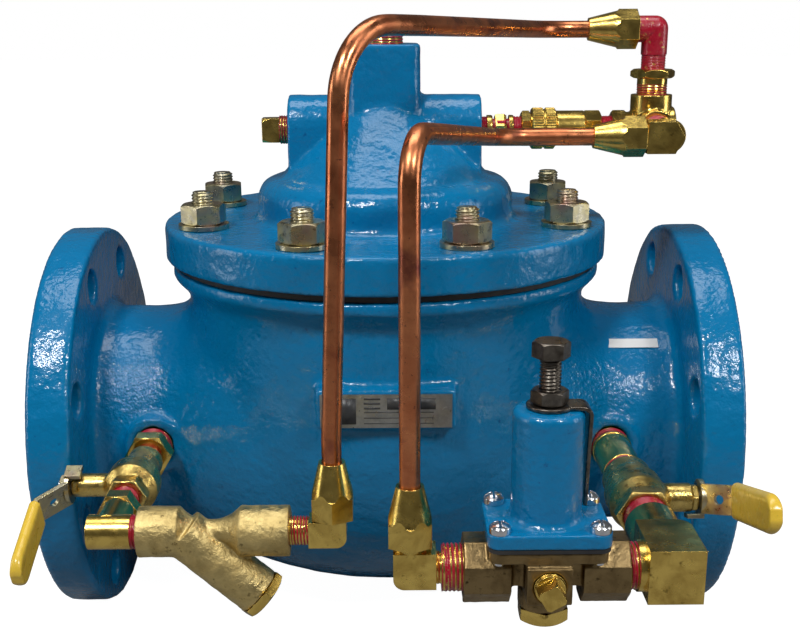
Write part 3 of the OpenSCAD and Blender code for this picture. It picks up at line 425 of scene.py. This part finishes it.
MATERIALS = {
    "blue_enamel": blue_enamel(),
    "brass": brass("brass", (0.92, 0.66, 0.17), (0.56, 0.37, 0.085), 0.15),
    "cast_brass": brass("cast_brass", (0.68, 0.53, 0.23), (0.45, 0.335, 0.13), 0.34, 1.0, 0.0),
    "bronze": brass("bronze", (0.30, 0.21, 0.095), (0.16, 0.105, 0.045), 0.28, 0.5, 0.0),
    "copper": copper(),
    "yellow_zinc": yellow_zinc(),
    "steel": metal("steel", (0.60, 0.61, 0.63), (0.44, 0.45, 0.47), 0.22, 0.38),
    "bright_zinc": metal("bright_zinc", (0.82, 0.83, 0.85), (0.62, 0.63, 0.66), 0.16, 0.30),
    "dark_steel": metal("dark_steel", (0.21, 0.185, 0.155), (0.08, 0.068, 0.056), 0.24, 0.42),
    "black_rubber": soft("black_rubber", (0.020, 0.020, 0.022), (0.035, 0.034, 0.033), 0.62),
    "ptfe": soft("ptfe", (0.80, 0.79, 0.76), (0.72, 0.70, 0.66), 0.45),
    "yellow_vinyl": vinyl(),
    "crimson_sealant": sealant(),
    "plate_metal": metal("plate_metal", (0.58, 0.59, 0.58), (0.40, 0.41, 0.40), 0.26, 0.42, 0.0),
    "label_paper": soft("label_paper", (0.86, 0.86, 0.84), (0.80, 0.80, 0.77), 0.5),
}
CAST_COCK = brass("cock_brass", (0.76, 0.56, 0.18), (0.44, 0.31, 0.09), 0.18, 0.45, 0.0)


def paint_nodes():
    """Every CAD node shows its own slot's material."""
    for entry in frame["record"]["subparts"]:
        node = NODES[entry["node"]]
        node.data.materials.clear()
        node.data.materials.append(MATERIALS[entry["material_slot"]])


# ---------- Pieces ----------


def body_of_node(node):
    return NODES[node]["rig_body"]


def new_piece(name, mesh, body, slot, material=None):
    piece = bpy.data.objects.new(name, mesh)
    bpy.context.scene.collection.objects.link(piece)
    mesh.materials.clear()
    mesh.materials.append(material or MATERIALS[slot])
    for polygon in mesh.polygons:
        polygon.use_smooth = True
    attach(piece, body)
    return piece


def welded_copy(node):
    mesh = NODES[node].data.copy()
    shape = bmesh.new()
    shape.from_mesh(mesh)
    bmesh.ops.remove_doubles(shape, verts=shape.verts, dist=0.000002)
    shape.to_mesh(mesh)
    shape.free()
    return mesh


def applied(mesh, *modifiers):
    """The mesh with the given (kind, settings) modifiers applied."""
    holder = bpy.data.objects.new("holder", mesh)
    bpy.context.scene.collection.objects.link(holder)
    for kind, settings in modifiers:
        modifier = holder.modifiers.new(kind, kind)
        for key, value in settings.items():
            setattr(modifier, key, value)
    seen = holder.evaluated_get(bpy.context.evaluated_depsgraph_get())
    result = bpy.data.meshes.new_from_object(seen)
    bpy.data.objects.remove(holder)
    return result


def roughen(mesh, depth, spacing, keep=None):
    """Sinks the surface a little here and there, as sand casting leaves it, never outwards."""
    for vertex, normal in zip(mesh.vertices, [v.normal.copy() for v in mesh.vertices]):
        if keep is not None and keep(vertex.co, normal):
            continue
        lift = noise.noise(vertex.co / spacing) + 0.5 * noise.noise(vertex.co * 2.3 / spacing)
        vertex.co += normal * depth * (min(1.0, max(-1.0, lift)) - 1.0) / 2
    mesh.update()


def melt(mesh, share, passes):
    """Relaxes the surface where share, from 0 to 1 for each point, says, which fills its corners."""
    count = len(mesh.vertices)
    places, pairs = np.empty(count * 3), np.empty(len(mesh.edges) * 2, np.int64)
    mesh.vertices.foreach_get("co", places)
    mesh.edges.foreach_get("vertices", pairs)
    places, pairs = places.reshape(-1, 3), pairs.reshape(-1, 2)
    first = np.concatenate((pairs[:, 0], pairs[:, 1]))
    second = np.concatenate((pairs[:, 1], pairs[:, 0]))
    near = np.bincount(first, minlength=count)[:, None]
    weight = np.array([share(place) for place in places])[:, None] * 0.5
    for _ in range(passes):
        mean = np.stack([np.bincount(first, places[second, k], count) for k in range(3)], 1) / near
        places += weight * (mean - places)
    mesh.vertices.foreach_set("co", places.ravel())
    mesh.update()


def ramp(value, low, high):
    return min(1.0, max(0.0, (value - low) / (high - low)))


def body_corner(place):
    """Where the body's necks and belly run into the round bowl, away from ports, plate and bore."""
    x, y, z = place[0] / MM - COVER_X, place[1] / MM, place[2] / MM
    along = ramp(abs(x), 40, 62) * ramp(-abs(x), -156, -140)
    below_deck = ramp(-z, -86, -78)
    ports = [math.hypot(x - INLET_X, z - INLET_Z), math.hypot(x - OUTLET_X, z - OUTLET_Z)]
    off_port = 1.0 if y > 0 else ramp(min(ports), 19, 28)
    outside = ramp(math.hypot(y, z), 58, 62)
    return along * below_deck * off_port * outside


def casting(node, voxel, passes, slot, depth=0.0, spacing=0.01, keep=None, material=None, corner=None):
    """A CAD casting with its inner and outer corners melted into fillets."""
    smooth = ("SMOOTH", {"factor": 0.5, "iterations": passes})
    mesh = applied(welded_copy(node), ("REMESH", {"mode": "VOXEL", "voxel_size": voxel}), smooth)
    if corner:
        melt(mesh, corner, 90)
    if depth:
        roughen(mesh, depth, spacing, keep)
    mesh.name = node + "_cast"
    piece = new_piece(node + "_cast", mesh, body_of_node(node), slot, material)
    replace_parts(piece, node)
    return piece


def on_machined_face(place, normal):
    """True on the two flange faces."""
    return abs(normal.x) > 0.9 and min(place.x, CAD_BOX[1][0] - place.x) < 0.002


def make_castings():
    casting("valve_body", 0.0018, 5, "blue_enamel", 0.0006, 0.014, on_machined_face, corner=body_corner)
    casting("valve_cover", 0.0014, 6, "blue_enamel", 0.0006, 0.012)
    casting("pilot_bonnet", 0.0006, 5, "blue_enamel", 0.0002, 0.006)
    casting("pilot_body", 0.0006, 5, "bronze", 0.0003, 0.005)
    casting("strainer_body", 0.0006, 6, "cast_brass", 0.0004, 0.005)
    casting("inlet_cock_body", 0.0005, 3, "brass", 0.0001, 0.004, material=CAST_COCK)
    casting("outlet_cock_body", 0.0005, 3, "brass", 0.0001, 0.004, material=CAST_COCK)
    casting("control_tee", 0.0005, 4, "brass", 0.0001, 0.004)


def make_lever(node, along):
    """A lever cut short inside its grip, so that the grip's round tip covers it."""
    mesh = welded_copy(node)
    tip = max(vertex.co.dot(along) for vertex in mesh.vertices)
    for vertex in mesh.vertices:
        if vertex.co.dot(along) > tip - 0.001:
            vertex.co -= along * 0.012
    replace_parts(new_piece(node + "_cut", mesh, body_of_node(node), "yellow_zinc"), node)
    for polygon in mesh.polygons:
        polygon.use_smooth = False


def make_grip(node, turn):
    """A dipped vinyl grip: softened all over, with a half-round tip. turn is the lever's angle."""
    slope = math.radians(turn)
    along = Vector((0, -math.cos(slope), math.sin(slope)))
    across = Vector((0, math.sin(slope), math.cos(slope)))
    soften = ("SMOOTH", {"factor": 0.5, "iterations": 14})
    mesh = applied(welded_copy(node), ("REMESH", {"mode": "VOXEL", "voxel_size": 0.0005}), soften)
    reach = [vertex.co.dot(along) for vertex in mesh.vertices]
    sides = [vertex.co.dot(across) for vertex in mesh.vertices]
    tip, middle = max(reach), (max(sides) + min(sides)) / 2
    radius = (max(sides) - min(sides)) / 2
    for vertex, far, side in zip(mesh.vertices, reach, sides):
        left = max(0.0, 1 - (tip - far + 0.0004) / radius)
        vertex.co += across * (side - middle) * (math.sqrt(1 - left * left) - 1)
    mesh.update()
    piece = new_piece(node + "_dipped", mesh, body_of_node(node), "yellow_vinyl")
    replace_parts(piece, node)
    make_lever(node.replace("_grip", ""), along)


def make_grips():
    make_grip("inlet_lever_grip", -INLET_DROOP)
    make_grip("outlet_lever_grip", OUTLET_RISE)


def make_lock_bracket():
    """The flat bracket beside the pilot's bonnet, with its corner bent round."""
    soften = ("SMOOTH", {"factor": 0.5, "iterations": 3})
    remesh = ("REMESH", {"mode": "VOXEL", "voxel_size": 0.0004})
    mesh = applied(welded_copy("lock_bracket"), remesh, soften)
    outer = max(vertex.co.x for vertex in mesh.vertices)
    top = max(vertex.co.z for vertex in mesh.vertices)
    bend = 0.0046
    for vertex in mesh.vertices:
        out, up = vertex.co.x - outer + bend, vertex.co.z - top + bend
        if min(out, up) > 0:
            depth = bend - max(out, up)
            share = min(out, up) / max(out, up) / 2
            turn = math.radians(90) * (share if up > out else 1 - share)
            vertex.co.x = outer - bend + (bend - depth) * math.sin(turn)
            vertex.co.z = top - bend + (bend - depth) * math.cos(turn)
    mesh.update()
    piece = new_piece("lock_bracket_bent", mesh, body_of_node("lock_bracket"), "dark_steel")
    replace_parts(piece, "lock_bracket")


def make_tubes():
    """The swept copper tubes, smoothed from their CAD facets."""
    for node in ("cover_control_tube", "pilot_supply_tube"):
        mesh = applied(welded_copy(node), ("SUBSURF", {"levels": 2, "render_levels": 2}))
        piece = new_piece(node + "_smooth", mesh, body_of_node(node), "copper")
        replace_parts(piece, node)


PLAIN_STEP = 0.02


def thread_mesh(start, end, radius, pitch, depth, tip=0.0, sides=40, steps=8):
    """A screw thread from start to end, both Vectors, its last stretch tapered by tip."""
    axis = (end - start).normalized()
    across = axis.orthogonal().normalized()
    beside = axis.cross(across)
    length = (end - start).length
    rings = max(4, round(length / pitch * steps))
    points, faces = [], []
    for i in range(rings + 1):
        along = length * i / rings
        for k in range(sides):
            turn = k / sides
            wave = (0.5 + 0.5 * math.cos(2 * math.pi * (along / pitch - turn))) ** 0.8
            reach = radius - depth * wave - max(0.0, along - length + tip) * 0.7
            angle = 2 * math.pi * turn
            spoke = across * math.cos(angle) + beside * math.sin(angle)
            points.append(start + axis * along + reach * spoke)
    for i in range(rings):
        for k in range(sides):
            a, b = i * sides + k, i * sides + (k + 1) % sides
            faces.append((a, b, b + sides, a + sides))
    faces.append(tuple(reversed(range(sides))))
    faces.append(tuple(rings * sides + k for k in range(sides)))
    return points, faces


def plain_rod(start, end, radius, tip=0.0, sides=40):
    """A rod or prism without a thread, its end tapered by tip."""
    return thread_mesh(start, end, radius, PLAIN_STEP, 0.0, tip, sides)


def joined_mesh(name, pieces):
    points, faces = [], []
    for some_points, some_faces in pieces:
        offset = len(points)
        points.extend(some_points)
        faces.extend(tuple(offset + i for i in face) for face in some_faces)
    mesh = bpy.data.meshes.new(name)
    mesh.from_pydata(points, [], faces)
    mesh.validate()
    mesh.update()
    return mesh


def make_studs():
    """Studs with a real thread where they show, and a plain shank below."""
    low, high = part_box("cover_studs")
    radius, shank_top = STUD_RADIUS * MM, 0.118
    pitch, depth, tip = 1.75 * MM, 0.7 * MM, 1.5 * MM
    parts = []
    for i in range(STUD_COUNT):
        angle = math.radians((i + 0.5) * 360 / STUD_COUNT)
        foot = at(0, 0, 0) + Vector((math.cos(angle), math.sin(angle), 0)) * STUD_CIRCLE * MM
        middle = foot + Vector((0, 0, shank_top))
        parts.append(thread_mesh(middle, foot + Vector((0, 0, high.z)), radius, pitch, depth, tip))
        parts.append(plain_rod(foot + Vector((0, 0, low.z)), middle, radius - 0.35 * MM))
    piece = new_piece("cover_studs_threaded", joined_mesh("studs", parts), "valve", "yellow_zinc")
    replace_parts(piece, "cover_studs")


def make_adjusting_screw():
    """The long adjusting screw: a cut thread under the CAD's own hexagon head."""
    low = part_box("adjusting_screw")[0]
    axis = at(PILOT_X, PILOT_Y, 0)
    head_z = HEAD_Z * MM
    mesh = welded_copy("adjusting_screw")
    shape = bmesh.new()
    shape.from_mesh(mesh)
    every = shape.verts[:] + shape.edges[:] + shape.faces[:]
    bmesh.ops.bisect_plane(
        shape, geom=every, plane_co=(0, 0, head_z - 0.0001), plane_no=(0, 0, 1), clear_inner=True
    )
    shape.to_mesh(mesh)
    shape.free()
    head = ([v.co.copy() for v in mesh.vertices], [tuple(p.vertices) for p in mesh.polygons])
    start = Vector((axis.x, axis.y, low.z))
    rod = thread_mesh(start, Vector((axis.x, axis.y, head_z)), 4.75 * MM, 1.59 * MM, 0.65 * MM)
    whole = joined_mesh("adjusting_screw", [rod, head])
    piece = new_piece("adjusting_screw_threaded", whole, "adjusting_screw", "dark_steel")
    for polygon in whole.polygons:
        polygon.use_smooth = polygon.center.z < head_z - 0.0005
    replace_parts(piece, "adjusting_screw")


# Stretches of pipe thread with sealant on them: name, line's start, direction, and in millimetres
# where they begin and end along the line, their radius and their pitch
FORWARD, UP, LEFT, RIGHT = (0, -1, 0), (0, 0, 1), (-1, 0, 0), (1, 0, 0)
INLET_LINE, OUTLET_LINE = (INLET_X, 0, INLET_Z), (OUTLET_X, 0, OUTLET_Z)
COVER_LINE, STRAINER_LINE = (0, 0, SIDE_Z), (0, STRAINER_Y, INLET_Z)
PILOT_LINE, TEE_LINE = (0, PILOT_Y, OUTLET_Z), (TEE_X, 0, 0)
SEALED_THREADS = [
    ("inlet_port", INLET_LINE, FORWARD, 71.6, 79, THREAD_HALF, 1.81),
    ("inlet_cock_rear", INLET_LINE, FORWARD, 89, 95.2, THREAD_QUARTER, 1.41),
    ("inlet_cock_front", INLET_LINE, FORWARD, 146.6, 156.2, THREAD_QUARTER, 1.41),
    ("strainer_left", STRAINER_LINE, RIGHT, -119.6, -116, THREAD_QUARTER + 1.2, 1.41),
    ("strainer_right", STRAINER_LINE, RIGHT, -45.3, -36.3, THREAD_QUARTER, 1.41),
    ("outlet_port", OUTLET_LINE, FORWARD, 67.6, 74, THREAD_HALF, 1.81),
    ("outlet_cock_rear", OUTLET_LINE, FORWARD, 110.5, 117.3, THREAD_HALF, 1.81),
    ("outlet_cock_front", OUTLET_LINE, FORWARD, 166.7, 178.2, THREAD_HALF, 1.81),
    ("pilot_left", PILOT_LINE, RIGHT, 24.4, 33.7, THREAD_HALF, 1.81),
    ("pilot_right", PILOT_LINE, RIGHT, 106.3, 111.1, THREAD_HALF, 1.81),
    ("cover_top", (0, 0, 0), UP, 219.6, 226.1, THREAD_HALF, 1.81),
    ("cover_left", COVER_LINE, LEFT, 55.2, 60.6, 8.0, 1.41),
    ("cover_right", COVER_LINE, RIGHT, 55.2, 59.1, THREAD_QUARTER, 1.41),
    ("flow_left", COVER_LINE, RIGHT, 74.2, 78.7, THREAD_QUARTER, 1.41),
    ("flow_right", COVER_LINE, RIGHT, 124.3, 130.8, THREAD_QUARTER, 1.41),
    ("tee_front", (TEE_X, 0, SIDE_Z), FORWARD, 19.8, 40.7, THREAD_THREE_EIGHTH, 1.41),
    ("tee_top", TEE_LINE, UP, 190.8, 196.7, THREAD_THREE_EIGHTH, 1.41),
    ("top_elbow", TEE_LINE, UP, 204.8, 213.2, THREAD_QUARTER, 1.41),
]


def make_sealed_threads():
    skin = 0.18
    for name, origin, direction, start, end, radius, pitch in SEALED_THREADS:
        base, way = at(*origin), Vector(direction) * MM
        points, faces = thread_mesh(
            base + way * start, base + way * end, (radius + skin) * MM, pitch * MM, 0.55 * MM
        )
        new_piece("sealed_" + name, joined_mesh(name, [(points, faces)]), "valve", "crimson_sealant")


def make_union_hexagon():
    """The brass hexagon and collars between the cover's right port and the flow control."""
    hexagon = plain_rod(at(63.6, 0, SIDE_Z), at(70.0, 0, SIDE_Z), 8.6 * MM, 0.8 * MM, 6)
    collars = [
        plain_rod(at(start, 0, SIDE_Z), at(end, 0, SIDE_Z), 7.75 * MM, 0.4 * MM)
        for start, end in ((58.9, 61.9), (71.6, 74.1))
    ]
    mesh = joined_mesh("union_hexagon", [hexagon, *collars])
    new_piece("union_hexagon", mesh, "valve", "brass")
    for polygon in mesh.polygons:
        polygon.use_smooth = False


def make_nipple_rings():
    """Bright turned bands at both ends of the outlet nipple's plain barrel."""
    rings = []
    for middle in (75.2, 109.6):
        base = at(*OUTLET_LINE) + Vector(FORWARD) * middle * MM
        rows = [(-1.1, 10.5), (-0.8, 11.0), (0.0, 11.15), (0.8, 11.0), (1.1, 10.5)]
        sides = 48
        points, faces = [], []
        for along, reach in rows:
            for k in range(sides):
                angle = 2 * math.pi * k / sides
                spoke = Vector((reach * math.cos(angle), -along, reach * math.sin(angle)))
                points.append(base + spoke * MM)
        for i in range(len(rows) - 1):
            for k in range(sides):
                a, b = i * sides + k, i * sides + (k + 1) % sides
                faces.append((a, b, b + sides, a + sides))
        faces.append(tuple(reversed(range(sides))))
        faces.append(tuple((len(rows) - 1) * sides + k for k in range(sides)))
        rings.append((points, faces))
    new_piece("nipple_rings", joined_mesh("nipple_rings", rings), "valve", "brass")


def make_flow_sleeve():
    """The flow control's turning sleeve, with straight knurling and rounded rims."""
    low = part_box("flow_control_sleeve")[0]
    ridges, outer, bore, depth = 48, 11.8, 8.06, 0.55
    profile = [(0.0, -0.9), (0.9, 0.0), (6.3, 0.0), (6.9, -0.9)]
    profile += [(7.7, -0.9), (8.3, 0.0), (13.1, 0.0), (14.0, -1.2)]
    sides = ridges * 4
    points, faces = [], []
    for along, drop in profile + [(14.0, bore - outer), (0.0, bore - outer)]:
        knurled = drop == 0.0
        for k in range(sides):
            cut = depth * (0.5 - 0.5 * math.cos(2 * math.pi * ridges * k / sides)) if knurled else 0.0
            reach, angle = (outer + drop - cut) * MM, 2 * math.pi * k / sides
            y, z = reach * math.cos(angle), SIDE_Z * MM + reach * math.sin(angle)
            points.append(Vector((low.x + along * MM, y, z)))
    rings = len(profile) + 2
    for i in range(rings):
        for k in range(sides):
            a, b = i * sides + k, i * sides + (k + 1) % sides
            c, d = (i + 1) % rings * sides + (k + 1) % sides, (i + 1) % rings * sides + k
            faces.append((a, b, c, d))
    mesh = joined_mesh("flow_sleeve", [(points, faces)])
    piece = new_piece("flow_control_sleeve_knurled", mesh, "flow_sleeve", "brass")
    for polygon in mesh.polygons:
        polygon.use_smooth = False
    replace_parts(piece, "flow_control_sleeve")


def box_mesh(low, high):
    xs, ys, zs = zip(low, high)
    corners = [Vector((x, y, z)) for x in xs for y in ys for z in zs]
    faces = [(0, 1, 3, 2), (4, 6, 7, 5), (0, 4, 5, 1), (2, 3, 7, 6), (0, 2, 6, 4), (1, 5, 7, 3)]
    return corners, faces


def make_plate_fields():
    """Blank printed fields and rules on the plate, with no wording."""
    dark = [(-26, -15.5, 33.5, 47.5)]
    dark += [(-11.5, 24.5, z, z + 0.5) for z in (33.6, 36.6, 39.6)]
    dark += [(-11.5, -3.0, z, z + 1.0) for z in (41.6, 44.2, 46.6)]
    dark += [(0.5, 12.5, 41.4, 47.4), (14.5, 25.5, 41.4, 47.4)]
    front, back = PLATE_FACE_Y - 0.12, PLATE_FACE_Y + 0.1
    boxes = [box_mesh(at(x0, front, z0), at(x1, back, z1)) for x0, x1, z0, z1 in dark]
    ink = soft("plate_ink", (0.03, 0.032, 0.035), (0.06, 0.06, 0.06), 0.4)
    new_piece("plate_fields", joined_mesh("plate_fields", boxes), "valve", "plate_metal", ink)


# ---------- Assembly ----------

make_camera()
make_lights()
make_floor()
paint_nodes()
make_castings()
make_grips()
make_lock_bracket()
make_tubes()
make_studs()
make_adjusting_screw()
make_sealed_threads()
make_union_hexagon()
make_nipple_rings()
make_flow_sleeve()
make_plate_fields()
bpy.context.scene.view_settings.view_transform = "Standard"
